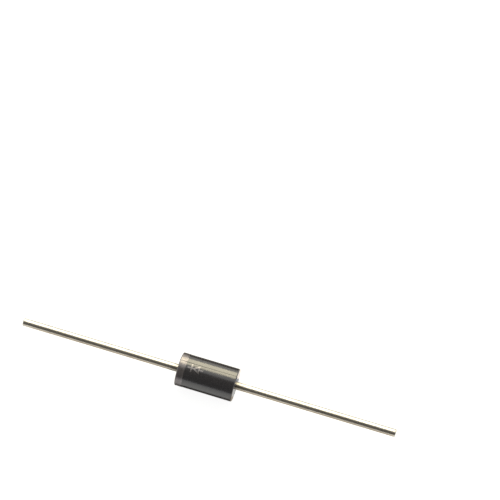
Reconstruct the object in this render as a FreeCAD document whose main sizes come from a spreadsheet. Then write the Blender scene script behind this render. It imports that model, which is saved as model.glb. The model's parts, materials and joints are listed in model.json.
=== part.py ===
import FreeCAD, Part
import os
import Sketcher

# Axial rectifier diode in a round moulded case with two straight wire leads.
#
# Frame: millimetres. The origin is the centre of the silicon die, which is also the middle of
# the case. +X runs along the leads from the cathode end to the anode end, and +Z is up when the
# diode lies on a bench. The mould's parting plane holds the leads and is nearly upright: the
# case has rolled just off the thin line of flash that the mould left along it.
#
# Inside the case, from the middle out: a mesa die, a solder joint on each face, the nail heads
# of the two leads, and a bead of silicone round the junction. The epoxy is moulded round all of it.

SIZES = [
    # name, value, what it measures
    ("body_length", 9.4, "moulded case, from lead exit to lead exit"),
    ("body_diameter", 5.36, "moulded case"),
    ("edge_radius", 0.15, "rounding of the case's two rims"),
    ("flash_height", 0.03, "parting line, above the case"),
    ("flash_thickness", 0.05, "parting line, across the parting plane"),
    ("parting_turn", 16, "degrees from upright to the parting plane, about the leads"),
    ("ink_thickness", 0.02, "printed film of the band and the mark"),
    ("band_width", 1.2, "cathode band, from the cathode end of the case"),
    ("band_edge", 0.05, "bare start of the rim's rounding that the band leaves"),
    ("mark_start", 1.5, "from the cathode end of the case to the mark"),
    ("mark_length", 2.55, "polarity mark, along the case"),
    ("mark_shift", 0.06, "from the top of the case to the mark's middle, towards -Y"),
    ("mark_stroke", 0.22, "width of the mark's lines"),
    ("bar_start", 0.55, "from the mark's start to its bar"),
    ("bar_height", 1.3, "bar of the mark, across the case"),
    ("arrow_length", 1.2, "triangle of the mark, from the bar to its base"),
    ("arrow_height", 1.3, "triangle of the mark, across its base"),
    ("lead_diameter", 1.25, "tinned copper wire"),
    ("lead_length", 26.2, "wire outside the case, each side"),
    ("tip_chamfer", 0.12, "break of the sheared wire end"),
    ("head_diameter", 3.2, "upset nail head inside the case"),
    ("head_thickness", 0.5, "nail head"),
    ("head_round", 0.1, "rounding of the nail head's rim"),
    ("neck_diameter", 1.9, "cone under the nail head, where it meets the head"),
    ("neck_length", 0.45, "cone under the nail head"),
    ("swell_diameter", 1.33, "wire at the foot of the cone, which upsetting the head thickened"),
    ("die_side", 2.1, "square silicon die, cathode face"),
    ("mesa_side", 1.8, "square silicon die, anode face at the top of the mesa"),
    ("die_thickness", 0.28, "silicon die"),
    ("solder_thickness", 0.08, "each solder joint"),
    ("solder_fillet", 0.12, "how far each joint spreads on its nail head past the die"),
    ("coating_cover", 0.2, "how far the silicone climbs each nail head's rim"),
    ("coating_bulge", 0.32, "how far the silicone bead stands out past the nail heads"),
]

# Places that several pieces share, each worked out from the sheet.
END_X = "(Sizes.body_length / 2)"
STACK_HALF = "(Sizes.die_thickness / 2 + Sizes.solder_thickness)"
DIE_HALF = "(Sizes.die_thickness / 2)"
HEAD_BACK = "(" + STACK_HALF + " + Sizes.head_thickness)"
NECK_END = "(" + HEAD_BACK + " + Sizes.neck_length)"
LEAD_TIP = "(Sizes.body_length / 2 + Sizes.lead_length)"
LEAD_RADIUS = "Sizes.lead_diameter / 2"
HEAD_RADIUS = "Sizes.head_diameter / 2"
COATING_HALF = "(" + STACK_HALF + " + Sizes.coating_cover)"
MARK_X = "(Sizes.mark_start - " + END_X + ")"
BAR_X = "(" + MARK_X + " + Sizes.bar_start)"
ARROW_X = "(" + BAR_X + " + Sizes.mark_stroke)"
BASE_X = "(" + ARROW_X + " + Sizes.arrow_length)"
ARROW_SIDE = "sqrt(Sizes.arrow_length ^ 2 + (Sizes.arrow_height / 2) ^ 2)"
CORNER_LENGTH = "(Sizes.mark_stroke * " + ARROW_SIDE + " / (Sizes.arrow_height / 2))"

NO_SKIN = "0"
INK_SKIN = "Sizes.ink_thickness"
EXPORTED = [
    "epoxy_case",
    "cathode_band",
    "polarity_mark",
    "cathode_lead",
    "anode_lead",
    "silicon_die",
    "cathode_solder",
    "anode_solder",
    "junction_coating",
]


def make_sheet(doc):
    """The spreadsheet that drives every size, one row for each."""
    sheet = doc.addObject("Spreadsheet::Sheet", "Sizes")
    for row, (name, value, note) in enumerate(SIZES, start=1):
        sheet.set("A%d" % row, name)
        sheet.set("B%d" % row, str(value))
        sheet.set("C%d" % row, note)
        sheet.setAlias("B%d" % row, name)
    doc.recompute()
    return sheet


def value_of(thing, expression):
    """What an expression comes to, as a plain number."""
    result = thing.evalExpression(expression)
    return float(getattr(result, "Value", result))


def origin_plane(body, role):
    """One of the body's own origin planes."""
    return next(feature for feature in body.Origin.OriginFeatures if feature.Role == role)


def sketch_on(body, role, name, offset=None):
    """An empty sketch on one of the body's origin planes, moved along the plane's normal."""
    sketch = body.newObject("Sketcher::SketchObject", name)
    sketch.AttachmentSupport = [(origin_plane(body, role), "")]
    sketch.MapMode = "FlatFace"
    if offset is not None:
        sketch.setExpression(".AttachmentOffset.Base.z", offset)
    return sketch


def tie(sketch, kind, axis, line, expression):
    """Holds the start of a line at a distance from the sketch's origin, or on its axis at zero."""
    distance = value_of(sketch, expression)
    if expression == "0":
        sketch.addConstraint(Sketcher.Constraint("PointOnObject", line, 1, axis))
    elif distance < 0:
        index = sketch.addConstraint(Sketcher.Constraint(kind, line, 1, -1, 1, -distance))
        sketch.setExpression("Constraints[%d]" % index, "-" + expression)
    else:
        index = sketch.addConstraint(Sketcher.Constraint(kind, -1, 1, line, 1, distance))
        sketch.setExpression("Constraints[%d]" % index, expression)


def draw_outline(sketch, corners):
    """A closed outline of straight lines, each corner held by two expressions."""
    points = [FreeCAD.Vector(value_of(sketch, x), value_of(sketch, y), 0) for x, y in corners]
    count = len(points)
    for i in range(count):
        sketch.addGeometry(Part.LineSegment(points[i], points[(i + 1) % count]), False)
    for i in range(count):
        sketch.addConstraint(Sketcher.Constraint("Coincident", i, 2, (i + 1) % count, 1))
    for i, (x, y) in enumerate(corners):
        tie(sketch, "DistanceX", -2, i, x)
        tie(sketch, "DistanceY", -1, i, y)


def draw_rectangle(sketch, half_x, half_y):
    """A rectangle about the sketch's origin."""
    plus_x = "(" + half_x + ")"
    plus_y = "(" + half_y + ")"
    minus_x = "-" + plus_x
    minus_y = "-" + plus_y
    corners = [(minus_x, minus_y), (plus_x, minus_y), (plus_x, plus_y), (minus_x, plus_y)]
    draw_outline(sketch, corners)


def revolve(body, sketch, name):
    """A full turn of a sketch about its horizontal axis."""
    turned = body.newObject("PartDesign::Revolution", name)
    turned.Profile = (sketch, [""])
    turned.ReferenceAxis = (sketch, ["H_Axis"])
    turned.Angle = 360.0
    return turned


def pad_both_ways(body, sketch, name, thickness):
    """A pad that lies evenly on both sides of its sketch."""
    pad = body.newObject("PartDesign::Pad", name)
    pad.Profile = (sketch, [""])
    pad.Midplane = True
    pad.setExpression("Length", thickness)
    return pad


def edge_names(shape, wanted):
    """The names of the edges that wanted() picks."""
    return ["Edge%d" % number for number, edge in enumerate(shape.Edges, start=1) if wanted(edge)]


def round_edges(body, base, name, radius, wanted):
    """A fillet of each edge of the base that wanted() picks."""
    base.Document.recompute()
    fillet = body.newObject("PartDesign::Fillet", name)
    fillet.Base = (base, edge_names(base.Shape, wanted))
    fillet.setExpression("Radius", radius)
    return fillet


def is_ring(edge, radius):
    """True for a full circle of that radius."""
    return (
        isinstance(edge.Curve, Part.Circle)
        and edge.Closed
        and abs(edge.Curve.Radius - radius) < 1e-6
    )


def runs_along_y(edge):
    """True for a straight edge along Y."""
    return isinstance(edge.Curve, Part.Line) and abs(edge.Curve.Direction.y) > 0.999


def lies_at(edge, place):
    """True for a closed edge that lies at that place along X."""
    return edge.Closed and all(abs(vertex.X - place) < 1e-6 for vertex in edge.Vertexes)


def moulded_form(doc, name, skin):
    """The outside of the moulded case, grown all round by a skin: a barrel and its line of flash."""
    barrel = doc.addObject("PartDesign::Body", name + "_barrel")
    half_length = "(" + END_X + " + " + skin + ")"
    radius = "(Sizes.body_diameter / 2 + " + skin + ")"
    profile = sketch_on(barrel, "XZ_Plane", name + "_profile")
    draw_outline(
        profile,
        [
            ("-" + half_length, "0"),
            ("-" + half_length, radius),
            (half_length, radius),
            (half_length, "0"),
        ],
    )
    turned = revolve(barrel, profile, name + "_turned")
    rim = value_of(barrel, radius)
    rounding = "Sizes.edge_radius + " + skin
    round_edges(barrel, turned, name + "_rims", rounding, lambda edge: is_ring(edge, rim))

    ridge = "(Sizes.flash_height + " + skin + ")"
    flash = doc.addObject("PartDesign::Body", name + "_flash")
    outline = sketch_on(flash, "XZ_Plane", name + "_flash_outline")
    draw_rectangle(outline, END_X + " + " + ridge, "Sizes.body_diameter / 2 + " + ridge)
    plate = pad_both_ways(
        flash, outline, name + "_flash_plate", "Sizes.flash_thickness + 2 * " + skin
    )
    corner_rounding = "Sizes.edge_radius + " + ridge
    round_edges(flash, plate, name + "_flash_corners", corner_rounding, runs_along_y)
    flash.Placement = FreeCAD.Placement(
        FreeCAD.Vector(0, 0, 0), FreeCAD.Rotation(FreeCAD.Vector(1, 0, 0), 1)
    )
    flash.setExpression(".Placement.Rotation.Angle", "-Sizes.parting_turn")
    return fuse(doc, name, [barrel, flash])


def make_lead(doc, label, turn):
    """A wire with an upset nail head, sheared at its free end and turned about Z to its side.

    The wire thickens a little from the case's end to the cone under the head.
    """
    body = doc.addObject("PartDesign::Body", label)
    profile = sketch_on(body, "XZ_Plane", label + "_profile")
    draw_outline(
        profile,
        [
            (STACK_HALF, "0"),
            (STACK_HALF, HEAD_RADIUS),
            (HEAD_BACK, HEAD_RADIUS),
            (HEAD_BACK, "Sizes.neck_diameter / 2"),
            (NECK_END, "Sizes.swell_diameter / 2"),
            (END_X, LEAD_RADIUS),
            (LEAD_TIP, LEAD_RADIUS),
            (LEAD_TIP, "0"),
        ],
    )
    wire = revolve(body, profile, label + "_wire")
    head_radius = value_of(body, HEAD_RADIUS)
    head = round_edges(
        body, wire, label + "_head_rim", "Sizes.head_round", lambda edge: is_ring(edge, head_radius)
    )
    doc.recompute()
    tip_x = value_of(body, LEAD_TIP)
    chamfer = body.newObject("PartDesign::Chamfer", label + "_sheared_tip")
    chamfer.Base = (head, edge_names(head.Shape, lambda edge: lies_at(edge, tip_x)))
    chamfer.setExpression("Size", "Sizes.tip_chamfer")
    body.Placement = FreeCAD.Placement(
        FreeCAD.Vector(0, 0, 0), FreeCAD.Rotation(FreeCAD.Vector(0, 0, 1), turn)
    )
    return body


def make_block(doc, label, from_x, from_side, to_x, to_side):
    """A square block on the X axis that tapers from one face to the other."""
    body = doc.addObject("PartDesign::Body", label)
    first = sketch_on(body, "YZ_Plane", label + "_first_face", from_x)
    draw_rectangle(first, "(" + from_side + ") / 2", "(" + from_side + ") / 2")
    second = sketch_on(body, "YZ_Plane", label + "_second_face", to_x)
    draw_rectangle(second, "(" + to_side + ") / 2", "(" + to_side + ") / 2")
    block = body.newObject("PartDesign::AdditiveLoft", label + "_block")
    block.Profile = (first, [""])
    block.Sections = [(second, [""])]
    block.Ruled = True
    return body


def make_coating_form(doc):
    """The silicone bead as a full disc: flat sides on the nail heads' rims and a round outer edge."""
    body = doc.addObject("PartDesign::Body", "coating_form")
    sketch = sketch_on(body, "XZ_Plane", "coating_profile")
    half = value_of(sketch, COATING_HALF)
    rim = value_of(sketch, HEAD_RADIUS)
    bulge = value_of(sketch, "Sizes.coating_bulge")
    low_left, low_right = FreeCAD.Vector(-half, 0, 0), FreeCAD.Vector(half, 0, 0)
    top_left, top_right = FreeCAD.Vector(-half, rim, 0), FreeCAD.Vector(half, rim, 0)
    crest = FreeCAD.Vector(0, rim + bulge, 0)
    sketch.addGeometry(Part.LineSegment(low_left, low_right), False)
    sketch.addGeometry(Part.LineSegment(low_right, top_right), False)
    sketch.addGeometry(Part.Arc(top_right, crest, top_left), False)
    sketch.addGeometry(Part.LineSegment(top_left, low_left), False)
    sketch.addConstraint(Sketcher.Constraint("Coincident", 0, 2, 1, 1))
    sketch.addConstraint(Sketcher.Constraint("Coincident", 1, 2, 2, 1))
    sketch.addConstraint(Sketcher.Constraint("Coincident", 2, 2, 3, 1))
    sketch.addConstraint(Sketcher.Constraint("Coincident", 3, 2, 0, 1))
    sketch.addConstraint(Sketcher.Constraint("Vertical", 1))
    sketch.addConstraint(Sketcher.Constraint("Vertical", 3))
    tie(sketch, "DistanceX", -2, 0, "-" + COATING_HALF)
    tie(sketch, "DistanceY", -1, 0, "0")
    tie(sketch, "DistanceX", -2, 1, COATING_HALF)
    tie(sketch, "DistanceY", -1, 1, "0")
    tie(sketch, "DistanceY", -1, 3, HEAD_RADIUS)
    sketch.addConstraint(Sketcher.Constraint("Horizontal", 2, 1, 2, 2))
    arc_radius = (
        "(" + COATING_HALF + " ^ 2 + Sizes.coating_bulge ^ 2) / (2 * Sizes.coating_bulge)"
    )
    index = sketch.addConstraint(Sketcher.Constraint("Radius", 2, value_of(sketch, arc_radius)))
    sketch.setExpression("Constraints[%d]" % index, arc_radius)
    revolve(body, sketch, "coating_disc")
    return body


def fuse(doc, name, pieces):
    """Several objects as one."""
    fused = doc.addObject("Part::MultiFuse", name)
    fused.Shapes = pieces
    return fused


def cut(doc, name, base, tool):
    """One object with the room for another taken out of it."""
    result = doc.addObject("Part::Cut", name)
    result.Base = base
    result.Tool = tool
    return result


def common(doc, name, base, tool):
    """What two objects share."""
    result = doc.addObject("Part::Common", name)
    result.Base = base
    result.Tool = tool
    return result


def make_box(doc, name, corner, size):
    """A block from its lowest corner and its three lengths, all as expressions."""
    box = doc.addObject("Part::Box", name)
    for path, expression in zip(("x", "y", "z"), corner):
        box.setExpression(".Placement.Base." + path, expression)
    for path, expression in zip(("Length", "Width", "Height"), size):
        box.setExpression(path, expression)
    return box


def make_band(doc, ink):
    """The printed cathode band: the ink that lies round the case next to its cathode end."""
    reach = "Sizes.body_diameter"
    slab = make_box(
        doc,
        "band_slab",
        ("Sizes.band_edge - " + END_X, "-" + reach, "-" + reach),
        ("Sizes.band_width - Sizes.band_edge", "2 * " + reach, "2 * " + reach),
    )
    return common(doc, "cathode_band", ink, slab)


def arrow_outline(apex, base, half_height):
    """A triangle of the mark that points towards -X, from its apex round."""
    middle = "-Sizes.mark_shift"
    return [
        (apex, "(" + middle + ")"),
        (base, "(" + middle + " - " + half_height + ")"),
        (base, "(" + middle + " + " + half_height + ")"),
    ]


def make_arrow(doc):
    """The triangle of the mark as an open outline of even stroke, above the die's level."""
    arrow = doc.addObject("PartDesign::Body", "mark_arrow")
    sketch = sketch_on(arrow, "XY_Plane", "mark_arrow_outer")
    draw_outline(sketch, arrow_outline(ARROW_X, BASE_X, "Sizes.arrow_height / 2"))
    pad = arrow.newObject("PartDesign::Pad", "mark_arrow_pad")
    pad.Profile = (sketch, [""])
    pad.setExpression("Length", "Sizes.body_diameter")

    inner_apex = "(" + ARROW_X + " + " + CORNER_LENGTH + ")"
    inner_base = "(" + BASE_X + " - Sizes.mark_stroke)"
    inner_share = "(1 - (Sizes.mark_stroke + " + CORNER_LENGTH + ") / Sizes.arrow_length)"
    opening = sketch_on(arrow, "XY_Plane", "mark_arrow_inner")
    inner_half = inner_share + " * Sizes.arrow_height / 2"
    draw_outline(opening, arrow_outline(inner_apex, inner_base, inner_half))
    pocket = arrow.newObject("PartDesign::Pocket", "mark_arrow_opening")
    pocket.Profile = (opening, [""])
    pocket.Reversed = True
    pocket.setExpression("Length", "Sizes.body_diameter")
    return arrow


def make_mark(doc, ink):
    """The printed polarity mark on top of the case: a line, a bar, an open triangle and a line."""
    height = "Sizes.body_diameter"
    line_y = "-Sizes.mark_shift - Sizes.mark_stroke / 2"
    line_in = make_box(
        doc,
        "mark_line_in",
        (MARK_X, line_y, "0"),
        ("Sizes.bar_start + Sizes.mark_stroke + " + CORNER_LENGTH, "Sizes.mark_stroke", height),
    )
    bar = make_box(
        doc,
        "mark_bar",
        (BAR_X, "-Sizes.mark_shift - Sizes.bar_height / 2", "0"),
        ("Sizes.mark_stroke", "Sizes.bar_height", height),
    )
    out_x = BASE_X + " - Sizes.mark_stroke"
    line_out = make_box(
        doc,
        "mark_line_out",
        (out_x, line_y, "0"),
        (MARK_X + " + Sizes.mark_length - (" + out_x + ")", "Sizes.mark_stroke", height),
    )
    form = fuse(doc, "mark_form", [line_in, bar, make_arrow(doc), line_out])
    return common(doc, "polarity_mark", ink, form)


def build(doc):
    """Every sub-part of the diode, each as an object of the document."""
    make_sheet(doc)
    cathode_lead = make_lead(doc, "cathode_lead", 180)
    anode_lead = make_lead(doc, "anode_lead", 0)
    die = make_block(doc, "silicon_die", "-" + DIE_HALF, "Sizes.die_side", DIE_HALF, "Sizes.mesa_side")
    cathode_solder = make_block(
        doc,
        "cathode_solder",
        "-" + STACK_HALF,
        "Sizes.die_side + 2 * Sizes.solder_fillet",
        "-" + DIE_HALF,
        "Sizes.die_side",
    )
    anode_solder = make_block(
        doc,
        "anode_solder",
        DIE_HALF,
        "Sizes.mesa_side",
        STACK_HALF,
        "Sizes.mesa_side + 2 * Sizes.solder_fillet",
    )
    coating_form = make_coating_form(doc)
    chip = fuse(doc, "soldered_chip", [die, cathode_solder, anode_solder, cathode_lead, anode_lead])
    cut(doc, "junction_coating", coating_form, chip)

    case_form = moulded_form(doc, "case_form", NO_SKIN)
    inside = fuse(doc, "moulded_in", [cathode_lead, anode_lead, coating_form])
    cut(doc, "epoxy_case", case_form, inside)

    ink = cut(doc, "ink_film", moulded_form(doc, "ink_form", INK_SKIN), case_form)
    make_band(doc, ink)
    make_mark(doc, ink)
    doc.recompute()


def check(doc):
    """Stops the build if any object failed or any exported piece isn't a sound solid."""
    for thing in doc.Objects:
        if "Invalid" in thing.State or "Error" in thing.State:
            raise RuntimeError("%s failed: %s" % (thing.Name, thing.State))
    for label in EXPORTED:
        shape = doc.getObject(label).Shape
        if shape.isNull() or not shape.isValid() or not shape.Solids:
            raise RuntimeError("%s has no sound solid" % label)


def main():
    doc = FreeCAD.newDocument("axial_diode")
    build(doc)
    check(doc)
    os.makedirs("parts", exist_ok=True)
    for label in EXPORTED:
        shape = doc.getObject(label).Shape
        shape.exportStep(os.path.join("parts", label + ".step"))
        print("%s: %d solid(s), %.4f mm3" % (label, len(shape.Solids), shape.Volume))


main()
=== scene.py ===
"""Looks of an axial rectifier diode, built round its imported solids."""

import json
import logging
import math
from dataclasses import dataclass, field
from enum import Enum
from typing import Callable, Optional, Sequence

import bmesh
import bpy
from mathutils import Matrix, Vector, noise


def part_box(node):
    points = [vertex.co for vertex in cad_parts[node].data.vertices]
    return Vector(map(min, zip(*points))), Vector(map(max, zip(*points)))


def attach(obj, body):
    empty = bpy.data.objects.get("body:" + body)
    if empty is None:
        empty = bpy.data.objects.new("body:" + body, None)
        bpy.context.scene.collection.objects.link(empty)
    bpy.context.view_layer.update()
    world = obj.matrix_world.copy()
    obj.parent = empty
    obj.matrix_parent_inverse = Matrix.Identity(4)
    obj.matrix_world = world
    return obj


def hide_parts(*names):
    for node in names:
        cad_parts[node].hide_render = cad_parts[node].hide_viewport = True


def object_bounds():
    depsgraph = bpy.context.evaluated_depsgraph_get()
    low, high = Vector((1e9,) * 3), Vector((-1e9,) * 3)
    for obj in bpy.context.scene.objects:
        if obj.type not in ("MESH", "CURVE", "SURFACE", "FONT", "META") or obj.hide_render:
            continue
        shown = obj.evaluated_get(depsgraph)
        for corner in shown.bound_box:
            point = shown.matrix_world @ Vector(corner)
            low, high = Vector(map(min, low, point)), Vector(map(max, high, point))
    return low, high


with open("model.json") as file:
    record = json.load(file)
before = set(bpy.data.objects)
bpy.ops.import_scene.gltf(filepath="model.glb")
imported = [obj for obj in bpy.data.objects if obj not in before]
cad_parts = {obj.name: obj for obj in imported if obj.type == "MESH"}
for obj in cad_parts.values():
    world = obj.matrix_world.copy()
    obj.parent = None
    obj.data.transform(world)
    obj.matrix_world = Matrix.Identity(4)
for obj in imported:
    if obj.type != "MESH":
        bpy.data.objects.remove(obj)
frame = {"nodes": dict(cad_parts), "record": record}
CAD_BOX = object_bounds()

MM = 0.001

# In millimetres: how near two points are one, and how near a point is on a cutting plane
TOUCH = 1e-4
ON_PLANE = TOUCH / 10.0

# Edges that turn more than this stay sharp
SHARP_DEG = 40.0

ALONG, ACROSS, UP = range(3)
CENTRE = (0.0, 0.0, 0.0)
LEADS_AXIS = (1.0, 0.0, 0.0)
WHITE = (1.0, 1.0, 1.0, 1.0)
BLACK = (0.0, 0.0, 0.0, 1.0)

# Sockets of the Mix node when it mixes colours
MIX_FACTOR, MIX_FIRST, MIX_SECOND = 0, 6, 7
MIX_RESULT = 2

LOG = logging.getLogger("diode")

Values = dict[str | int, object]
Links = dict[str | int, bpy.types.NodeSocket]


class End(Enum):
    """The two ends of the diode, by the side of the case that each lies on."""

    CATHODE = -1
    ANODE = 1


class Space(Enum):
    """How a pattern lies on a piece: even all ways, or drawn out along the leads."""

    EVEN = (1.0, 1.0, 1.0)
    DRAWN = (0.04, 1.0, 1.0)


# Colours and nodes


def linear(code: str) -> tuple[float, float, float, float]:
    """Turns an sRGB colour into the linear one that a shader takes.

    Args:
        code: six hex digits after a hash mark.

    Returns:
        Red, green, blue and an alpha of 1.
    """
    channels = [int(code[i : i + 2], 16) / 255.0 for i in (1, 3, 5)]
    bent = [c / 12.92 if c <= 0.04045 else ((c + 0.055) / 1.055) ** 2.4 for c in channels]
    return (bent[0], bent[1], bent[2], 1.0)


def per_mm(size: float) -> float:
    """The scale of a texture whose features are that many millimetres across, on metres."""
    return 1.0 / (size * MM)


def set_inputs(
    tree: bpy.types.NodeTree,
    node: bpy.types.Node,
    values: Optional[Values] = None,
    links: Optional[Links] = None,
) -> None:
    """Gives a node its constant values and what feeds it.

    Args:
        tree: the material's or the world's node tree.
        node: the node.
        values: input socket names or numbers, and their constant values.
        links: input socket names or numbers, and the output sockets that feed them.
    """
    for name, value in (values or {}).items():
        node.inputs[name].default_value = value
    for name, source in (links or {}).items():
        tree.links.new(source, node.inputs[name])


def add_node(
    tree: bpy.types.NodeTree,
    kind: str,
    values: Optional[Values] = None,
    links: Optional[Links] = None,
    **settings: object,
) -> bpy.types.Node:
    """Adds one node with its settings, its values and what feeds it.

    Args:
        tree: the material's or the world's node tree.
        kind: the node's type name.
        values: input socket names or numbers, and their constant values.
        links: input socket names or numbers, and the output sockets that feed them.
        settings: the node's own properties.

    Returns:
        The new node.
    """
    node = tree.nodes.new(kind)
    for name, value in settings.items():
        setattr(node, name, value)
    set_inputs(tree, node, values, links)
    return node


def ramp(
    tree: bpy.types.NodeTree,
    source: bpy.types.NodeSocket,
    places: tuple[float, float],
    levels: tuple[float, float] = (0.0, 1.0),
) -> bpy.types.NodeSocket:
    """A rise from one grey level to another, for masks and roughness.

    Args:
        tree: the node tree.
        source: what drives the rise.
        places: the source's levels between which it rises.
        levels: the grey levels below and above them.

    Returns:
        The socket that carries the level.
    """
    node = add_node(tree, "ShaderNodeValToRGB", links={"Fac": source})
    for element, place, level in zip(node.color_ramp.elements, places, levels):
        element.position = place
        element.color = (level, level, level, 1.0)
    return node.outputs["Color"]


def object_space(tree: bpy.types.NodeTree, space: Space) -> bpy.types.NodeSocket:
    """Object coordinates, drawn out as asked.

    Args:
        tree: the node tree.
        space: how a pattern lies on the piece.

    Returns:
        The socket that carries the coordinates.
    """
    place = add_node(tree, "ShaderNodeTexCoord")
    mapping = add_node(
        tree,
        "ShaderNodeMapping",
        values={"Scale": space.value},
        links={"Vector": place.outputs["Object"]},
    )
    return mapping.outputs["Vector"]


def grain(
    tree: bpy.types.NodeTree,
    size: float,
    space: Space = Space.EVEN,
    detail: float = 3.0,
    rough: float = 0.5,
) -> bpy.types.NodeSocket:
    """Noise whose features are that many millimetres across.

    Args:
        tree: the node tree.
        size: millimetres from one feature to the next.
        space: how the pattern lies on the piece.
        detail: octaves.
        rough: how much each finer octave counts.

    Returns:
        The noise's level.
    """
    node = add_node(
        tree,
        "ShaderNodeTexNoise",
        values={"Scale": per_mm(size), "Detail": detail, "Roughness": rough},
        links={"Vector": object_space(tree, space)},
    )
    return node.outputs["Fac"]


def blend_colours(
    tree: bpy.types.NodeTree,
    mask: bpy.types.NodeSocket,
    first: str | bpy.types.NodeSocket,
    second: str,
) -> bpy.types.NodeSocket:
    """A colour that goes from the first to the second as the mask rises.

    Args:
        tree: the node tree.
        mask: how much of the second colour there is.
        first: a colour's code, or the socket of a blend made before.
        second: a colour's code.

    Returns:
        The socket that carries the colour.
    """
    values: Values = {MIX_SECOND: linear(second)}
    links: Links = {MIX_FACTOR: mask}
    if isinstance(first, str):
        values[MIX_FIRST] = linear(first)
    else:
        links[MIX_FIRST] = first
    node = add_node(tree, "ShaderNodeMix", data_type="RGBA", values=values, links=links)
    return node.outputs[MIX_RESULT]


def fade_along(tree: bpy.types.NodeTree, start: float, reach: float) -> bpy.types.NodeSocket:
    """A mask that is full at a distance from the die along the leads and fades beyond it.

    Args:
        tree: the node tree.
        start: the distance in millimetres.
        reach: over how many millimetres it fades.

    Returns:
        The mask's socket.
    """
    place = add_node(tree, "ShaderNodeTexCoord")
    parts = add_node(tree, "ShaderNodeSeparateXYZ", links={0: place.outputs["Object"]})
    distance = add_node(tree, "ShaderNodeMath", operation="ABSOLUTE", links={0: parts.outputs["X"]})
    fade = add_node(
        tree,
        "ShaderNodeMapRange",
        interpolation_type="SMOOTHSTEP",
        values={
            "From Min": start * MM,
            "From Max": (start + reach) * MM,
            "To Min": 1.0,
            "To Max": 0.0,
        },
        links={"Value": distance.outputs[0]},
    )
    return fade.outputs["Result"]


@dataclass(frozen=True)
class Relief:
    """Fine relief: how deep it is in millimetres, and how much of it shows."""

    depth: float
    strength: float


def bump(
    tree: bpy.types.NodeTree,
    pattern: bpy.types.NodeSocket,
    relief: Relief,
    under: Optional[bpy.types.NodeSocket] = None,
) -> bpy.types.NodeSocket:
    """Fine relief on a surface.

    Args:
        tree: the node tree.
        pattern: where it is high and low.
        relief: its depth and strength.
        under: the normal of coarser relief below it.

    Returns:
        The normal.
    """
    links: Links = {"Height": pattern}
    if under is not None:
        links["Normal"] = under
    node = add_node(
        tree,
        "ShaderNodeBump",
        values={"Strength": relief.strength, "Distance": relief.depth * MM},
        links=links,
    )
    return node.outputs["Normal"]


def new_material(
    name: str,
) -> tuple[bpy.types.Material, bpy.types.NodeTree, bpy.types.Node]:
    """A material with one Principled shader.

    Args:
        name: the material's name.

    Returns:
        The material, its node tree and its shader.
    """
    material = bpy.data.materials.new(name)
    material.use_nodes = True
    tree = material.node_tree
    return material, tree, tree.nodes["Principled BSDF"]


# Finishes


@dataclass(frozen=True)
class MouldedEpoxy:
    """Silica-filled epoxy moulding compound, black, as it leaves a polished steel mould.

    It gives the eye a near-black satin gloss: one soft highlight along the case, with a faint
    pearly grain where fine silica shows at the skin. The IOR is raised from epoxy's usual 1.55
    until the gloss is the photograph's.
    """

    colour: str = "#2D2C30"
    dusty: str = "#373639"
    dust_at: tuple[float, float] = (0.4, 0.7)
    ior: float = 1.8
    roughness: tuple[float, float] = (0.19, 0.26)
    smudge_at: tuple[float, float] = (0.35, 0.65)
    grain_mm: float = 0.22
    draw_mm: float = 0.24
    smudge_mm: float = 2.4
    grain_relief: Relief = Relief(0.002, 0.2)
    draw_relief: Relief = Relief(0.004, 0.5)

    def material(self) -> bpy.types.Material:
        """Builds the finish. The grain of real silica is too fine to show and is drawn coarser.

        Returns:
            The material.
        """
        material, tree, shader = new_material("moulded_epoxy")
        smudge = grain(tree, self.smudge_mm, detail=4.0)
        fine = grain(tree, self.grain_mm, detail=2.0)
        drawn = grain(tree, self.draw_mm, Space.DRAWN, detail=2.0)
        dust = ramp(tree, fine, self.dust_at)
        coarse = bump(tree, drawn, self.draw_relief)
        set_inputs(
            tree,
            shader,
            values={"IOR": self.ior},
            links={
                "Base Color": blend_colours(tree, dust, self.colour, self.dusty),
                "Roughness": ramp(tree, smudge, self.smudge_at, self.roughness),
                "Normal": bump(tree, fine, self.grain_relief, coarse),
            },
        )
        return material


@dataclass(frozen=True)
class MarkingInk:
    """Silver-grey marking ink, pad-printed on the epoxy and cured.

    Its metal flakes lie flat in a thin binder, so it is a grey metallic film, a little patchy, with
    pinholes where the black shows.
    """

    colour: str = "#858182"
    thin: str = "#716D6F"
    thin_at: tuple[float, float] = (0.35, 0.6)
    metallic: float = 0.76
    roughness: tuple[float, float] = (0.27, 0.37)
    flake_at: tuple[float, float] = (0.3, 0.7)
    flake_mm: float = 0.18
    patch_mm: float = 1.1
    relief: Relief = Relief(0.004, 0.4)

    def material(self) -> bpy.types.Material:
        """Builds the finish. Real flakes are finer, and are drawn coarse enough to show.

        Returns:
            The material.
        """
        material, tree, shader = new_material("marking_ink")
        flakes = grain(tree, self.flake_mm, detail=2.0)
        patches = grain(tree, self.patch_mm, detail=4.0, rough=0.6)
        cover = ramp(tree, patches, self.thin_at)
        set_inputs(
            tree,
            shader,
            values={"Metallic": self.metallic},
            links={
                "Base Color": blend_colours(tree, cover, self.thin, self.colour),
                "Roughness": ramp(tree, flakes, self.flake_at, self.roughness),
                "Normal": bump(tree, flakes, self.relief),
            },
        )
        return material


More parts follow.
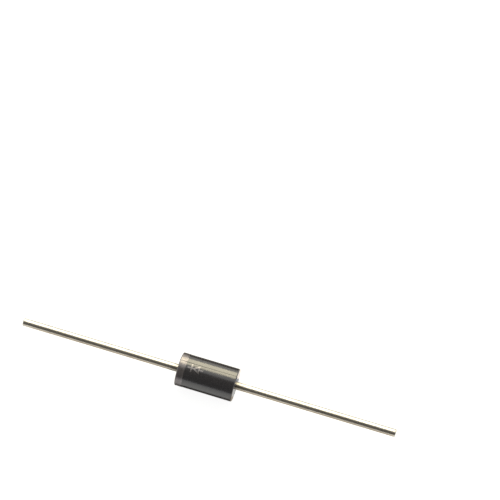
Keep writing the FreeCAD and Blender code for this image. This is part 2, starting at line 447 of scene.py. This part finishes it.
@dataclass(frozen=True)
class TinnedWire:
    """Copper wire, drawn and then plated with bright tin.

    The die's drawing lines run along it under the tin, and the tin has a warm grey cast with a
    few duller stretches from handling. Next to the case it is darker: painted shade where the
    wire leaves the case and mirrors its dark end.
    """

    colour: str = "#CDC9BE"
    dull: str = "#BBB6AB"
    dull_at: tuple[float, float] = (0.4, 0.68)
    # Painted shade: the darker colour of the wire next to the case
    root_shade: str = "#A39E93"
    roughness: tuple[float, float] = (0.27, 0.35)
    rough_at: tuple[float, float] = (0.35, 0.7)
    line_mm: float = 0.11
    cloud_mm: float = 1.8
    root_shade_start_mm: float = 4.9
    root_shade_reach_mm: float = 1.7
    relief: Relief = Relief(0.003, 0.35)

    def material(self) -> bpy.types.Material:
        """Builds the finish. The lines are spaced wider than real ones, so that they show.

        Returns:
            The material.
        """
        material, tree, shader = new_material("tinned_wire")
        lines = grain(tree, self.line_mm, Space.DRAWN, detail=2.0)
        clouds = grain(tree, self.cloud_mm, detail=4.0, rough=0.6)
        tin = blend_colours(tree, ramp(tree, clouds, self.dull_at), self.colour, self.dull)
        # Painted shade: full next to the case, fading away along the wire
        root_shade_mask = fade_along(tree, self.root_shade_start_mm, self.root_shade_reach_mm)
        set_inputs(
            tree,
            shader,
            values={"Metallic": 1.0},
            links={
                "Base Color": blend_colours(tree, root_shade_mask, tin, self.root_shade),
                "Roughness": ramp(tree, clouds, self.rough_at, self.roughness),
                "Normal": bump(tree, lines, self.relief),
            },
        )
        return material


@dataclass(frozen=True)
class LappedSilicon:
    """Silicon wafer, lapped and sawn: dark blue-grey with a fine, faintly shining grit."""

    colour: str = "#4A4E56"
    cut: str = "#3A3D44"
    metallic: float = 0.6
    roughness: float = 0.35
    grit_mm: float = 0.03
    relief: Relief = Relief(0.002, 0.4)

    def material(self) -> bpy.types.Material:
        """Builds the finish.

        Returns:
            The material.
        """
        material, tree, shader = new_material("lapped_silicon")
        grit = grain(tree, self.grit_mm)
        set_inputs(
            tree,
            shader,
            values={"Metallic": self.metallic, "Roughness": self.roughness},
            links={
                "Base Color": blend_colours(tree, grit, self.colour, self.cut),
                "Normal": bump(tree, grit, self.relief),
            },
        )
        return material


@dataclass(frozen=True)
class ReflowedSolder:
    """High-lead solder after reflow: a dull bright grey metal with a frosty, crystalline skin."""

    colour: str = "#A5A5A6"
    frost: str = "#8A8A8C"
    roughness: float = 0.4
    crystal_mm: float = 0.06
    relief: Relief = Relief(0.004, 0.5)

    def material(self) -> bpy.types.Material:
        """Builds the finish.

        Returns:
            The material.
        """
        material, tree, shader = new_material("reflowed_solder")
        crystals = grain(tree, self.crystal_mm)
        set_inputs(
            tree,
            shader,
            values={"Metallic": 1.0, "Roughness": self.roughness},
            links={
                "Base Color": blend_colours(tree, crystals, self.colour, self.frost),
                "Normal": bump(tree, crystals, self.relief),
            },
        )
        return material


@dataclass(frozen=True)
class SiliconeRubber:
    """White junction-coating silicone, dispensed and cured: milky, soft and slightly glossy."""

    colour: str = "#E6E4DE"
    shade: str = "#D2CFC7"
    ior: float = 1.41
    roughness: float = 0.4
    cloud_mm: float = 0.5
    relief: Relief = Relief(0.01, 0.3)

    def material(self) -> bpy.types.Material:
        """Builds the finish.

        Returns:
            The material.
        """
        material, tree, shader = new_material("silicone_rubber")
        clouds = grain(tree, self.cloud_mm)
        set_inputs(
            tree,
            shader,
            values={"IOR": self.ior, "Roughness": self.roughness},
            links={
                "Base Color": blend_colours(tree, clouds, self.colour, self.shade),
                "Normal": bump(tree, clouds, self.relief),
            },
        )
        return material


# Mesh making, in millimetres until the piece is done


def span(node: str, axis: int) -> tuple[float, float]:
    """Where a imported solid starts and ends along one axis, in millimetres."""
    low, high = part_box(node)
    return low[axis] / MM, high[axis] / MM


def draw_profile(
    bm: bmesh.types.BMesh, corners: Sequence[tuple[float, float]]
) -> list[bmesh.types.BMVert]:
    """Draws an open profile for a spin, in the XZ plane.

    Args:
        bm: the mesh.
        corners: pairs of place along the leads and distance from their axis.

    Returns:
        The corners' vertices, in order.
    """
    verts = [bm.verts.new((along, 0.0, radius)) for along, radius in corners]
    for first, second in zip(verts, verts[1:]):
        bm.edges.new((first, second))
    return verts


def round_corner(
    bm: bmesh.types.BMesh, corner: bmesh.types.BMVert, radius: float, segments: int
) -> None:
    """Rounds one corner of a profile.

    Args:
        bm: the mesh of the profile.
        corner: the corner's vertex.
        radius: the rounding's radius.
        segments: how many edges it has.
    """
    bmesh.ops.bevel(
        bm,
        geom=[corner],
        offset=radius,
        offset_type="OFFSET",
        segments=segments,
        profile=0.5,
        affect="VERTICES",
        material=-1,
    )


def divide_edges(
    bm: bmesh.types.BMesh, pick: Callable[[bmesh.types.BMEdge], bool], cuts: int
) -> None:
    """Divides edges of a profile into equal runs.

    Args:
        bm: the mesh of the profile.
        pick: says whether an edge is divided.
        cuts: how many times.
    """
    edges = [edge for edge in bm.edges if pick(edge)]
    bmesh.ops.subdivide_edges(bm, edges=edges, cuts=cuts, use_grid_fill=False)


def turn(bm: bmesh.types.BMesh, steps: int) -> None:
    """Spins a profile all the way round the leads' axis.

    Args:
        bm: the mesh of the profile.
        steps: how many faces there are in the round.
    """
    bmesh.ops.spin(
        bm,
        geom=bm.verts[:] + bm.edges[:],
        cent=CENTRE,
        axis=LEADS_AXIS,
        angle=math.tau,
        steps=steps,
        use_merge=True,
        use_normal_flip=False,
        use_duplicate=False,
    )
    bmesh.ops.remove_doubles(bm, verts=bm.verts, dist=TOUCH)
    bmesh.ops.recalc_face_normals(bm, faces=bm.faces)


def slice_at(
    bm: bmesh.types.BMesh, point: Sequence[float], normal: Sequence[float], trim: bool = False
) -> None:
    """Cuts all faces along a plane.

    Args:
        bm: the mesh.
        point: a point on the plane.
        normal: the plane's direction.
        trim: whether what lies on the normal's side is dropped.
    """
    bmesh.ops.bisect_plane(
        bm,
        geom=bm.verts[:] + bm.edges[:] + bm.faces[:],
        dist=ON_PLANE,
        plane_co=point,
        plane_no=normal,
        clear_outer=trim,
        clear_inner=False,
    )


def finish_piece(bm: bmesh.types.BMesh, name: str) -> bpy.types.Object:
    """Turns a mesh in millimetres into a finished object in metres.

    Args:
        bm: the mesh, which is used up.
        name: the piece's name.

    Returns:
        The object, which sits at the origin.
    """
    bmesh.ops.scale(bm, vec=(MM, MM, MM), verts=bm.verts)
    for face in bm.faces:
        face.smooth = True
    mesh = bpy.data.meshes.new(name)
    bm.to_mesh(mesh)
    bm.free()
    mesh.set_sharp_from_angle(angle=math.radians(SHARP_DEG))
    piece = bpy.data.objects.new(name, mesh)
    bpy.context.scene.collection.objects.link(piece)
    return piece


def dress(
    piece: bpy.types.Object, material: bpy.types.Material, slot: str, *nodes: str
) -> bpy.types.Object:
    """Gives a new piece its finish and its place in the frame.

    Args:
        piece: the object.
        material: its finish.
        slot: not used.
        nodes: the solids that it stands for.

    Returns:
        The piece.
    """
    piece.data.materials.clear()
    piece.data.materials.append(material)
    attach(piece, "root")
    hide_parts(*nodes)
    LOG.info("%s: %d faces, stands for %s", piece.name, len(piece.data.polygons), ", ".join(nodes))
    return piece


# Pieces


@dataclass
class Junction:
    """What the case is moulded round, whose outline is the case's cavity. Sizes in millimetres."""

    stack_half: float = span("anode_lead", ALONG)[0]
    head_radius: float = span("anode_lead", UP)[1]
    coating_half: float = span("junction_coating", ALONG)[1]
    coating_radius: float = span("junction_coating", UP)[1]
    head_thickness: float = 0.5
    head_round: float = 0.1
    head_round_steps: int = 4
    neck_radius: float = 0.95
    neck_length: float = 0.45
    swell_radius: float = 0.665
    bead_steps: int = 16

    @property
    def head_back(self) -> float:
        """Where the nail head ends and its cone starts."""
        return self.stack_half + self.head_thickness

    @property
    def neck_end(self) -> float:
        """Where the cone runs out into the wire."""
        return self.head_back + self.neck_length

    def dress(self) -> None:
        """Gives the sealed solids inside the case their own finishes."""
        silicon = LappedSilicon().material()
        solder = ReflowedSolder().material()
        silicone = SiliconeRubber().material()
        finishes = {
            "silicon_die": silicon,
            "cathode_solder": solder,
            "anode_solder": solder,
            "junction_coating": silicone,
        }
        for name, material in finishes.items():
            mesh = frame["nodes"][name].data
            mesh.materials.clear()
            mesh.materials.append(material)
            LOG.info("%s: solid kept, finished as %s", name, material.name)

    def draw_bead(self, bm: bmesh.types.BMesh) -> tuple[bmesh.types.BMVert, bmesh.types.BMVert]:
        """Draws the silicone bead's round outer edge, as the case's cavity has it.

        Args:
            bm: the mesh of the case's profile.

        Returns:
            The arc's first and last vertex, on the anode's side and the cathode's.
        """
        bulge = self.coating_radius - self.head_radius
        radius = (self.coating_half**2 + bulge**2) / (2.0 * bulge)
        first = bm.verts.new((self.coating_half, 0.0, self.head_radius))
        made = bmesh.ops.spin(
            bm,
            geom=[first],
            cent=(0.0, 0.0, self.coating_radius - radius),
            axis=(0.0, 1.0, 0.0),
            angle=-2.0 * math.asin(self.coating_half / radius),
            steps=self.bead_steps,
        )
        last = next(item for item in made["geom_last"] if isinstance(item, bmesh.types.BMVert))
        return first, last


@dataclass
class Case:
    """The black case, moulded in one piece round the junction. Sizes in millimetres."""

    junction: Junction
    reach: float = span("epoxy_case", ALONG)[1]
    radius: float = span("epoxy_case", UP)[1]
    wire_radius: float = frame["record"]["mounts"][0]["dims"]["r_mm"]
    rim_round: float = 0.15
    rim_segments: int = 8
    end_rings: int = 7
    steps: int = 180
    flash_height: float = 0.03
    flash_width: float = 0.05
    flash_uneven: float = 0.2
    flash_wave: float = 0.5
    parting_deg: float = 16.0
    form: bmesh.types.BMesh = field(default_factory=bmesh.new)

    @property
    def half(self) -> float:
        """From the middle of the case to each end, without the flash."""
        return self.reach - self.flash_height

    @property
    def across_parting(self) -> Vector:
        """The direction square to the mould's parting plane."""
        angle = math.radians(self.parting_deg)
        return Vector((0.0, math.cos(angle), -math.sin(angle)))

    def outline(self) -> list[bmesh.types.BMVert]:
        """Draws the half section of the epoxy as one closed run.

        Returns:
            The two corners that the rims are rounded from.
        """
        inside = self.junction
        right = [
            (self.half, self.wire_radius),
            (inside.neck_end, inside.swell_radius),
            (inside.head_back, inside.neck_radius),
            (inside.head_back, inside.head_radius),
        ]
        left = [(-along, radius) for along, radius in reversed(right)]
        outer = [(-self.half, self.radius), (self.half, self.radius)]
        verts = draw_profile(self.form, left + outer + right)
        anode_side, cathode_side = inside.draw_bead(self.form)
        self.form.edges.new((verts[-1], anode_side))
        self.form.edges.new((cathode_side, verts[0]))
        return verts[len(left) : len(left) + len(outer)]

    def shape(self) -> None:
        """Spins the section, cuts the parting line into it and raises the flash."""
        for rim in self.outline():
            round_corner(self.form, rim, self.rim_round, self.rim_segments)
        divide_edges(self.form, self.is_end_edge, self.end_rings)
        turn(self.form, self.steps)
        across = self.across_parting
        for offset in (-0.5, 0.0, 0.5):
            slice_at(self.form, across * (offset * self.flash_width), across)
        self.raise_flash()

    def is_end_edge(self, edge: bmesh.types.BMEdge) -> bool:
        """Tells the profile's straight edges down the two ends from the others.

        Args:
            edge: an edge of the profile.

        Returns:
            True for an edge down an end.
        """
        first, second = edge.verts
        at_end = all(abs(abs(v.co.x) - self.half) < TOUCH for v in edge.verts)
        return at_end and abs(first.co.z - second.co.z) > self.rim_round

    def is_skin(self, point: Vector) -> bool:
        """Tells the outside of the case, away from the wires, from its cavity.

        Args:
            point: a point on the case's surface.

        Returns:
            True for a point on the outside.
        """
        radius = math.hypot(point.y, point.z)
        on_end = abs(point.x) > self.half - TOUCH and radius > self.wire_radius + TOUCH
        return on_end or radius > self.radius - self.rim_round - TOUCH

    def raise_flash(self) -> None:
        """Lifts the skin's vertices on the parting plane into a fine ridge, a little uneven."""
        across = self.across_parting
        self.form.normal_update()
        crest = [
            vert
            for vert in self.form.verts
            if abs(vert.co.dot(across)) < TOUCH and self.is_skin(vert.co)
        ]
        even = 1.0 - self.flash_uneven
        for vert in crest:
            share = even + self.flash_uneven * noise.noise(vert.co / self.flash_wave)
            vert.co += vert.normal * self.flash_height * share

    def skin(self) -> bmesh.types.BMesh:
        """Copies the case's outside, for the ink to lie on.

        Returns:
            The copy, open where the wires leave the case.
        """
        outside = self.form.copy()
        inner = [face for face in outside.faces if not self.is_skin(face.calc_center_median())]
        bmesh.ops.delete(outside, geom=inner, context="FACES")
        return outside

    def build(self) -> bpy.types.Object:
        """Makes the case's object."""
        return dress(
            finish_piece(self.form.copy(), "moulded_case"),
            MouldedEpoxy().material(),
            "moulding_compound",
            "epoxy_case",
        )


def coat(bm: bmesh.types.BMesh, thickness: float) -> None:
    """Makes an open patch of skin a closed film that lies on it.

    Args:
        bm: the mesh of the patch.
        thickness: the film's thickness.
    """
    bm.normal_update()
    for vert in bm.verts:
        vert.co += vert.normal * thickness
    bmesh.ops.solidify(bm, geom=bm.faces[:], thickness=thickness)
    bmesh.ops.recalc_face_normals(bm, faces=bm.faces)


@dataclass
class CathodeBand:
    """The printed band round the cathode end. Places and sizes in millimetres."""

    case: Case
    start: float = span("cathode_band", ALONG)[0]
    edge: float = span("cathode_band", ALONG)[1]
    ink: MarkingInk = MarkingInk()
    film: float = 0.018
    wander: float = 0.025
    wander_wave: float = 0.9

    def build(self) -> bpy.types.Object:
        """Cuts the band out of the case's skin and gives it the film's thickness.

        Returns:
            The band's object.
        """
        patch = self.case.skin()
        slice_at(patch, (self.edge, 0.0, 0.0), (1.0, 0.0, 0.0), trim=True)
        slice_at(patch, (self.start, 0.0, 0.0), (-1.0, 0.0, 0.0), trim=True)
        for vert in patch.verts:
            if abs(vert.co.x - self.edge) < TOUCH:
                share = (1.0 + noise.noise(vert.co / self.wander_wave)) / 2.0
                vert.co.x -= self.wander * share
        coat(patch, self.film)
        return dress(
            finish_piece(patch, "band_print"),
            self.ink.material(),
            "marking_ink",
            "cathode_band",
        )


@dataclass
class PolarityMark:
    """The printed diode symbol on top of the case: a line, a bar, an open triangle and a line.

    Places and sizes in millimetres. The triangle points at the bar, on the cathode's side. Its
    ink lies a little brighter than the band's.
    """

    case: Case
    left: float = span("polarity_mark", ALONG)[0]
    right: float = span("polarity_mark", ALONG)[1]
    front: float = span("polarity_mark", ACROSS)[0]
    back: float = span("polarity_mark", ACROSS)[1]
    stroke: float = 0.22
    bar_start: float = 0.55
    arrow_length: float = 1.2
    ink: MarkingInk = MarkingInk("#939090", "#827F80", metallic=0.84)
    film: float = 0.018

    @property
    def middle(self) -> float:
        """Where the mark's centre line is, across the leads."""
        return (self.front + self.back) / 2.0

    @property
    def reach(self) -> float:
        """Half the height of the bar and the triangle."""
        return (self.back - self.front) / 2.0

    @property
    def bar(self) -> float:
        """Where the bar starts."""
        return self.left + self.bar_start

    @property
    def apex(self) -> float:
        """Where the triangle's point meets the bar."""
        return self.bar + self.stroke

    @property
    def base(self) -> float:
        """Where the triangle's base ends."""
        return self.apex + self.arrow_length

    @property
    def inner_apex(self) -> float:
        """Where the triangle's opening has its point."""
        side = math.hypot(self.arrow_length, self.reach)
        return self.apex + self.stroke * side / self.reach

    def within(self, x: float, aside: float, apex: float, base: float) -> bool:
        """True for a place inside a triangle of the mark's own slope."""
        return apex < x < base and aside < (x - apex) * self.reach / self.arrow_length

    def covers(self, x: float, y: float) -> bool:
        """Tells where the ink lies, seen from above.

        Args:
            x: the place along the leads.
            y: the place across them.

        Returns:
            True where there is ink.
        """
        aside = abs(y - self.middle)
        inner_base = self.base - self.stroke
        in_line = aside < self.stroke / 2.0 and not self.inner_apex < x < inner_base
        in_bar = self.bar < x < self.apex
        in_arrow = self.within(x, aside, self.apex, self.base)
        in_opening = self.within(x, aside, self.inner_apex, inner_base)
        return in_line or in_bar or (in_arrow and not in_opening)

    def trim(self, patch: bmesh.types.BMesh) -> None:
        """Trims the skin to the mark's own rectangle, on the top.

        Args:
            patch: a copy of the skin.
        """
        slice_at(patch, (0.0, 0.0, 0.0), (0.0, 0.0, -1.0), trim=True)
        slice_at(patch, (self.left, 0.0, 0.0), (-1.0, 0.0, 0.0), trim=True)
        slice_at(patch, (self.right, 0.0, 0.0), (1.0, 0.0, 0.0), trim=True)
        slice_at(patch, (0.0, self.front, 0.0), (0.0, -1.0, 0.0), trim=True)
        slice_at(patch, (0.0, self.back, 0.0), (0.0, 1.0, 0.0), trim=True)

    def score(self, patch: bmesh.types.BMesh) -> None:
        """Cuts the outlines of the strokes into the skin.

        Args:
            patch: the trimmed skin.
        """
        for x in (self.bar, self.apex, self.base - self.stroke, self.base):
            slice_at(patch, (x, 0.0, 0.0), (1.0, 0.0, 0.0))
        for side in (-1.0, 1.0):
            line_edge = self.middle + side * self.stroke / 2.0
            slice_at(patch, (0.0, line_edge, 0.0), (0.0, 1.0, 0.0))
            flank = (-side * self.reach, self.arrow_length, 0.0)
            for point in (self.apex, self.inner_apex):
                slice_at(patch, (point, self.middle, 0.0), flank)

    def build(self) -> bpy.types.Object:
        """Cuts the symbol out of the case's skin and gives it the film's thickness.

        Returns:
            The mark's object.
        """
        patch = self.case.skin()
        self.trim(patch)
        self.score(patch)
        middles = {face: face.calc_center_median() for face in patch.faces}
        bare = [face for face, middle in middles.items() if not self.covers(middle.x, middle.y)]
        bmesh.ops.delete(patch, geom=bare, context="FACES")
        coat(patch, self.film)
        return dress(
            finish_piece(patch, "mark_print"),
            self.ink.material(),
            "marking_ink",
            "polarity_mark",
        )


@dataclass
class Lead:
    """A tinned wire with its nail head inside the case. Sizes in millimetres."""

    end: End
    junction: Junction
    case: Case
    sheared_end: float = span("anode_lead", ALONG)[1]
    tip_round: float = 0.12
    tip_round_steps: int = 5
    steps: int = 96
    wire_cuts: int = 80

    def build(self) -> bpy.types.Object:
        """Spins the wire's profile and turns it to its own end of the case.

        Returns:
            The wire's object.
        """
        inside = self.junction
        radius = self.case.wire_radius
        bm = bmesh.new()
        corners = [
            (inside.stack_half, 0.0),
            (inside.stack_half, inside.head_radius),
            (inside.head_back, inside.head_radius),
            (inside.head_back, inside.neck_radius),
            (inside.neck_end, inside.swell_radius),
            (self.case.half, radius),
            (self.sheared_end, radius),
            (self.sheared_end, 0.0),
        ]
        _, front, back, *_, tip, _ = draw_profile(bm, corners)
        for head_corner in (front, back):
            round_corner(bm, head_corner, inside.head_round, inside.head_round_steps)
        round_corner(bm, tip, self.tip_round, self.tip_round_steps)
        outside = self.sheared_end - self.case.half
        divide_edges(bm, lambda edge: edge.calc_length() > outside / 2.0, self.wire_cuts)
        turn(bm, self.steps)
        if self.end is End.CATHODE:
            half_turn = Matrix.Rotation(math.pi, 3, "Z")
            bmesh.ops.rotate(bm, cent=CENTRE, matrix=half_turn, verts=bm.verts)
        name = self.end.name.lower()
        return dress(
            finish_piece(bm, name + "_wire"),
            TinnedWire().material(),
            "tinned_copper",
            name + "_lead",
        )


# Studio


@dataclass
class Studio:
    """A pale floor, a softbox, dark and light surroundings and the camera. Sizes in millimetres.

    A radiance of 1 looks white.
    """

    case: Case
    floor_size: float = 3000.0
    floor_cells: int = 4
    floor_colour: str = "#B3B3B1"
    floor_roughness: float = 0.9
    floor_seen: float = 0.85
    floor_mirrored: float = 0.75
    box_distance: float = 300.0
    box_lean_deg: float = 52.5
    box_length: float = 190.0
    box_width: float = 276.0
    box_shift: float = -32.0
    box_radiance: float = 5.0
    box_colour: str = "#FFF4D1"
    arch_radius: float = 240.0
    arch_from_deg: float = -4.0
    arch_to_deg: float = 82.0
    arch_half: float = 220.0
    arch_steps: int = 24
    arch_radiance: float = 0.12
    arch_colour: str = "#FFF6EC"
    strip_overhang: float = 2.0
    strip_lift: float = 0.02
    # Painted shadow: dark strips on the sheet behind and in front of the case, seen only in
    # reflections
    back_shadow_strip: tuple[float, float] = (5.5, 24.0)
    front_shadow_strip: tuple[float, float] = (-5.4, -0.8)
    shadow_radiance: float = 0.09
    shadow_colour: str = "#FFEEDA"
    # Painted shade on the sheet in front of and behind each wire, seen only in reflections
    wire_front_shadow_strip: tuple[float, float] = (-14.0, -1.2)
    wire_back_shadow_strip: tuple[float, float] = (0.8, 7.0)
    wire_shade_radiance: float = 0.7
    wire_back_colour: str = "#F4F7FF"
    # Painted light: a bright patch of sheet beside the anode's end, seen only in reflections
    end_glow_strip: tuple[float, float] = (1.84, 9.0)
    end_strip_reach: float = 2.0
    end_glow_radiance: float = 1.95
    end_glow_colour: str = "#FFF4E8"
    sky: float = 0.45
    azimuth_deg: float = 17.2
    elevation_deg: float = 70.0
    lens: float = 120.0
    sensor: float = 36.0
    clip: tuple[float, float] = (10.0, 20000.0)
    picture: float = 500.0
    pixels_per_mm: float = 6.32
    case_pixel: tuple[float, float] = (207.55, 376.93)

    @property
    def floor_level(self) -> float:
        """The height of the floor, which the case rests on."""
        return CAD_BOX[0][2] / MM

    def floor(self) -> None:
        """A matt white sheet under the diode, which keeps a soft shadow."""
        bm = bmesh.new()
        cells = self.floor_cells
        bmesh.ops.create_grid(bm, x_segments=cells, y_segments=cells, size=self.floor_size / 2.0)
        bmesh.ops.translate(bm, vec=(0.0, 0.0, self.floor_level), verts=bm.verts)
        sheet = finish_piece(bm, "floor")
        material, tree, shader = new_material("white_sheet")
        path = add_node(tree, "ShaderNodeLightPath")
        mirrored = add_node(
            tree,
            "ShaderNodeMath",
            operation="ADD",
            use_clamp=True,
            links={0: path.outputs["Is Glossy Ray"], 1: path.outputs["Is Transmission Ray"]},
        )
        seen = add_node(
            tree,
            "ShaderNodeMath",
            operation="MULTIPLY",
            values={1: self.floor_seen},
            links={0: path.outputs["Is Camera Ray"]},
        )
        glow = add_node(
            tree,
            "ShaderNodeMath",
            operation="MULTIPLY_ADD",
            values={1: self.floor_mirrored},
            links={0: mirrored.outputs[0], 2: seen.outputs[0]},
        )
        set_inputs(
            tree,
            shader,
            values={
                "Base Color": linear(self.floor_colour),
                "Roughness": self.floor_roughness,
                "Specular IOR Level": 0.0,
                "Emission Color": WHITE,
            },
            links={"Emission Strength": glow.outputs[0]},
        )
        sheet.data.materials.append(material)

    def softbox(self) -> None:
        """One soft lamp above and behind, as wide along the leads as their reflections need."""
        lean = math.radians(self.box_lean_deg)
        lamp = bpy.data.lights.new("softbox", "AREA")
        lamp.shape = "RECTANGLE"
        lamp.size = self.box_length * MM
        lamp.size_y = self.box_width * MM
        area = lamp.size * lamp.size_y
        lamp.energy = self.box_radiance * math.pi * area
        red, green, blue, _ = linear(self.box_colour)
        lamp.color = (red, green, blue)
        holder = bpy.data.objects.new("softbox", lamp)
        out = Vector((0.0, math.sin(lean), math.cos(lean)))
        place = out * self.box_distance + Vector((self.box_shift, 0.0, 0.0))
        holder.matrix_world = Matrix.Translation(place * MM) @ Matrix.Rotation(-lean, 4, "X")
        bpy.context.scene.collection.objects.link(holder)

    def hang_card(self, bm: bmesh.types.BMesh, name: str, radiance: float, colour: str) -> None:
        """Makes a card of a mesh, which is seen only in reflections.

        Args:
            bm: the card's sheet, in millimetres.
            name: the card's name.
            radiance: how bright it looks, where white is 1.
            colour: its colour's code.
        """
        card = finish_piece(bm, name)
        material, tree, shader = new_material(name)
        set_inputs(
            tree,
            shader,
            values={
                "Base Color": BLACK,
                "Specular IOR Level": 0.0,
                "Emission Color": linear(colour),
                "Emission Strength": radiance,
            },
        )
        card.data.materials.append(material)
        card.visible_camera = False
        card.visible_diffuse = False
        card.visible_transmission = False
        card.visible_shadow = False

    def dark_arch(self) -> None:
        """A dark card arched over the front, which keeps the reflections there dark."""
        bm = bmesh.new()
        first = math.radians(self.arch_from_deg)
        start = Vector((0.0, -math.sin(first), math.cos(first))) * self.arch_radius
        side = Vector((self.arch_half, 0.0, 0.0))
        edge = bm.edges.new((bm.verts.new(start - side), bm.verts.new(start + side)))
        bmesh.ops.spin(
            bm,
            geom=[edge],
            cent=CENTRE,
            axis=LEADS_AXIS,
            angle=math.radians(self.arch_to_deg - self.arch_from_deg),
            steps=self.arch_steps,
        )
        self.hang_card(bm, "dark_arch", self.arch_radiance, self.arch_colour)

    def lay_strip(
        self,
        name: str,
        along: tuple[float, float],
        across: tuple[float, float],
        radiance: float,
        colour: str,
        layer: int = 1,
    ) -> None:
        """Lays one strip on the floor.

        Args:
            name: the strip's name.
            along: the two places that it lies between, along the leads.
            across: the two places that it lies between, across them.
            radiance: how bright it looks, where white is 1.
            colour: its colour's code.
            layer: 1 on the floor, 2 on another strip.
        """
        bm = bmesh.new()
        bmesh.ops.create_grid(bm, x_segments=1, y_segments=1, size=0.5)
        bmesh.ops.scale(bm, vec=(along[1] - along[0], across[1] - across[0], 1.0), verts=bm.verts)
        height = self.floor_level + layer * self.strip_lift
        middle = (sum(along) / 2.0, sum(across) / 2.0, height)
        bmesh.ops.translate(bm, vec=middle, verts=bm.verts)
        self.hang_card(bm, name, radiance, colour)

    def floor_strips(self) -> None:
        """Strips on the floor that draw the edges of the case and the wires in reflections.

        All of them are painted. The dark ones are painted shade on the sheet beside the case and
        the wires, which draws their edges dark. The last is a painted bright patch of sheet, which
        the case's end on the anode's side mirrors.
        """
        half = self.case.half
        case_run = (-half - self.strip_overhang, half)
        tip = CAD_BOX[1][0] / MM
        dark, colour = self.shadow_radiance, self.shadow_colour
        pale, neutral = self.wire_shade_radiance, self.wire_back_colour
        # Painted shadow on the sheet beside the case, then painted shade beside each wire
        self.lay_strip("back_shadow_strip", case_run, self.back_shadow_strip, dark, colour)
        self.lay_strip("front_shadow_strip", case_run, self.front_shadow_strip, dark, colour)
        for end, run in ((End.CATHODE, (-tip, case_run[0])), (End.ANODE, (half, tip))):
            name = end.name.lower()
            self.lay_strip(name + "_front_shadow_strip", run, self.wire_front_shadow_strip, pale, colour)
            self.lay_strip(name + "_back_shadow_strip", run, self.wire_back_shadow_strip, pale, neutral)
        beside = (half, half + self.end_strip_reach)
        bright, warm = self.end_glow_radiance, self.end_glow_colour
        # Painted light beside the anode's end, mirrored in the case's end face
        self.lay_strip("end_glow_strip", beside, self.end_glow_strip, bright, warm, layer=2)

    def surroundings(self) -> None:
        """A white backdrop to the eye and in reflections, and an even soft fill on the object."""
        world = bpy.data.worlds.new("studio")
        bpy.context.scene.world = world
        world.use_nodes = True
        tree = world.node_tree
        tree.nodes.clear()
        path = add_node(tree, "ShaderNodeLightPath")
        camera_or_gloss = add_node(
            tree,
            "ShaderNodeMath",
            operation="ADD",
            links={0: path.outputs["Is Camera Ray"], 1: path.outputs["Is Glossy Ray"]},
        )
        seen = add_node(
            tree,
            "ShaderNodeMath",
            operation="ADD",
            use_clamp=True,
            links={0: camera_or_gloss.outputs[0], 1: path.outputs["Is Transmission Ray"]},
        )
        fill = add_node(
            tree, "ShaderNodeBackground", values={"Color": WHITE, "Strength": self.sky}
        )
        white = add_node(tree, "ShaderNodeBackground", values={"Color": WHITE, "Strength": 1.0})
        mix = add_node(
            tree,
            "ShaderNodeMixShader",
            links={0: seen.outputs[0], 1: fill.outputs[0], 2: white.outputs[0]},
        )
        add_node(tree, "ShaderNodeOutputWorld", links={"Surface": mix.outputs[0]})

    def camera(self) -> None:
        """A level camera at the photograph's angle, with the case on its own pixel."""
        azimuth = math.radians(self.azimuth_deg)
        elevation = math.radians(self.elevation_deg)
        out = Vector(
            (
                math.sin(azimuth) * math.cos(elevation),
                -math.cos(azimuth) * math.cos(elevation),
                math.sin(elevation),
            )
        )
        right = Vector((math.cos(azimuth), math.sin(azimuth), 0.0))
        up = out.cross(right)
        across = (self.case_pixel[0] - self.picture / 2.0) / self.pixels_per_mm
        down = (self.case_pixel[1] - self.picture / 2.0) / self.pixels_per_mm
        aim = up * down - right * across
        distance = self.lens / self.sensor * self.picture / self.pixels_per_mm
        data = bpy.data.cameras.new("camera")
        data.lens = self.lens
        data.sensor_width = self.sensor
        nearest, farthest = self.clip
        data.clip_start = nearest * MM
        data.clip_end = farthest * MM
        holder = bpy.data.objects.new("camera", data)
        rotation = (-out).to_track_quat("-Z", "Y").to_matrix().to_4x4()
        holder.matrix_world = Matrix.Translation((aim + out * distance) * MM) @ rotation
        bpy.context.scene.collection.objects.link(holder)
        bpy.context.scene.camera = holder

    def build(self) -> None:
        """Sets up the whole studio."""
        self.floor()
        self.softbox()
        self.dark_arch()
        self.floor_strips()
        self.surroundings()
        self.camera()
        bpy.context.scene.view_settings.view_transform = "Standard"


def main() -> None:
    """Builds the diode's pieces in order, then the studio round them."""
    logging.basicConfig(level=logging.INFO, format="%(name)s: %(message)s")
    junction = Junction()
    junction.dress()
    case = Case(junction)
    case.shape()
    case.build()
    CathodeBand(case).build()
    PolarityMark(case).build()
    for end in End:
        Lead(end, junction, case).build()
    Studio(case).build()
    case.form.free()


if __name__ == "__main__":
    main()
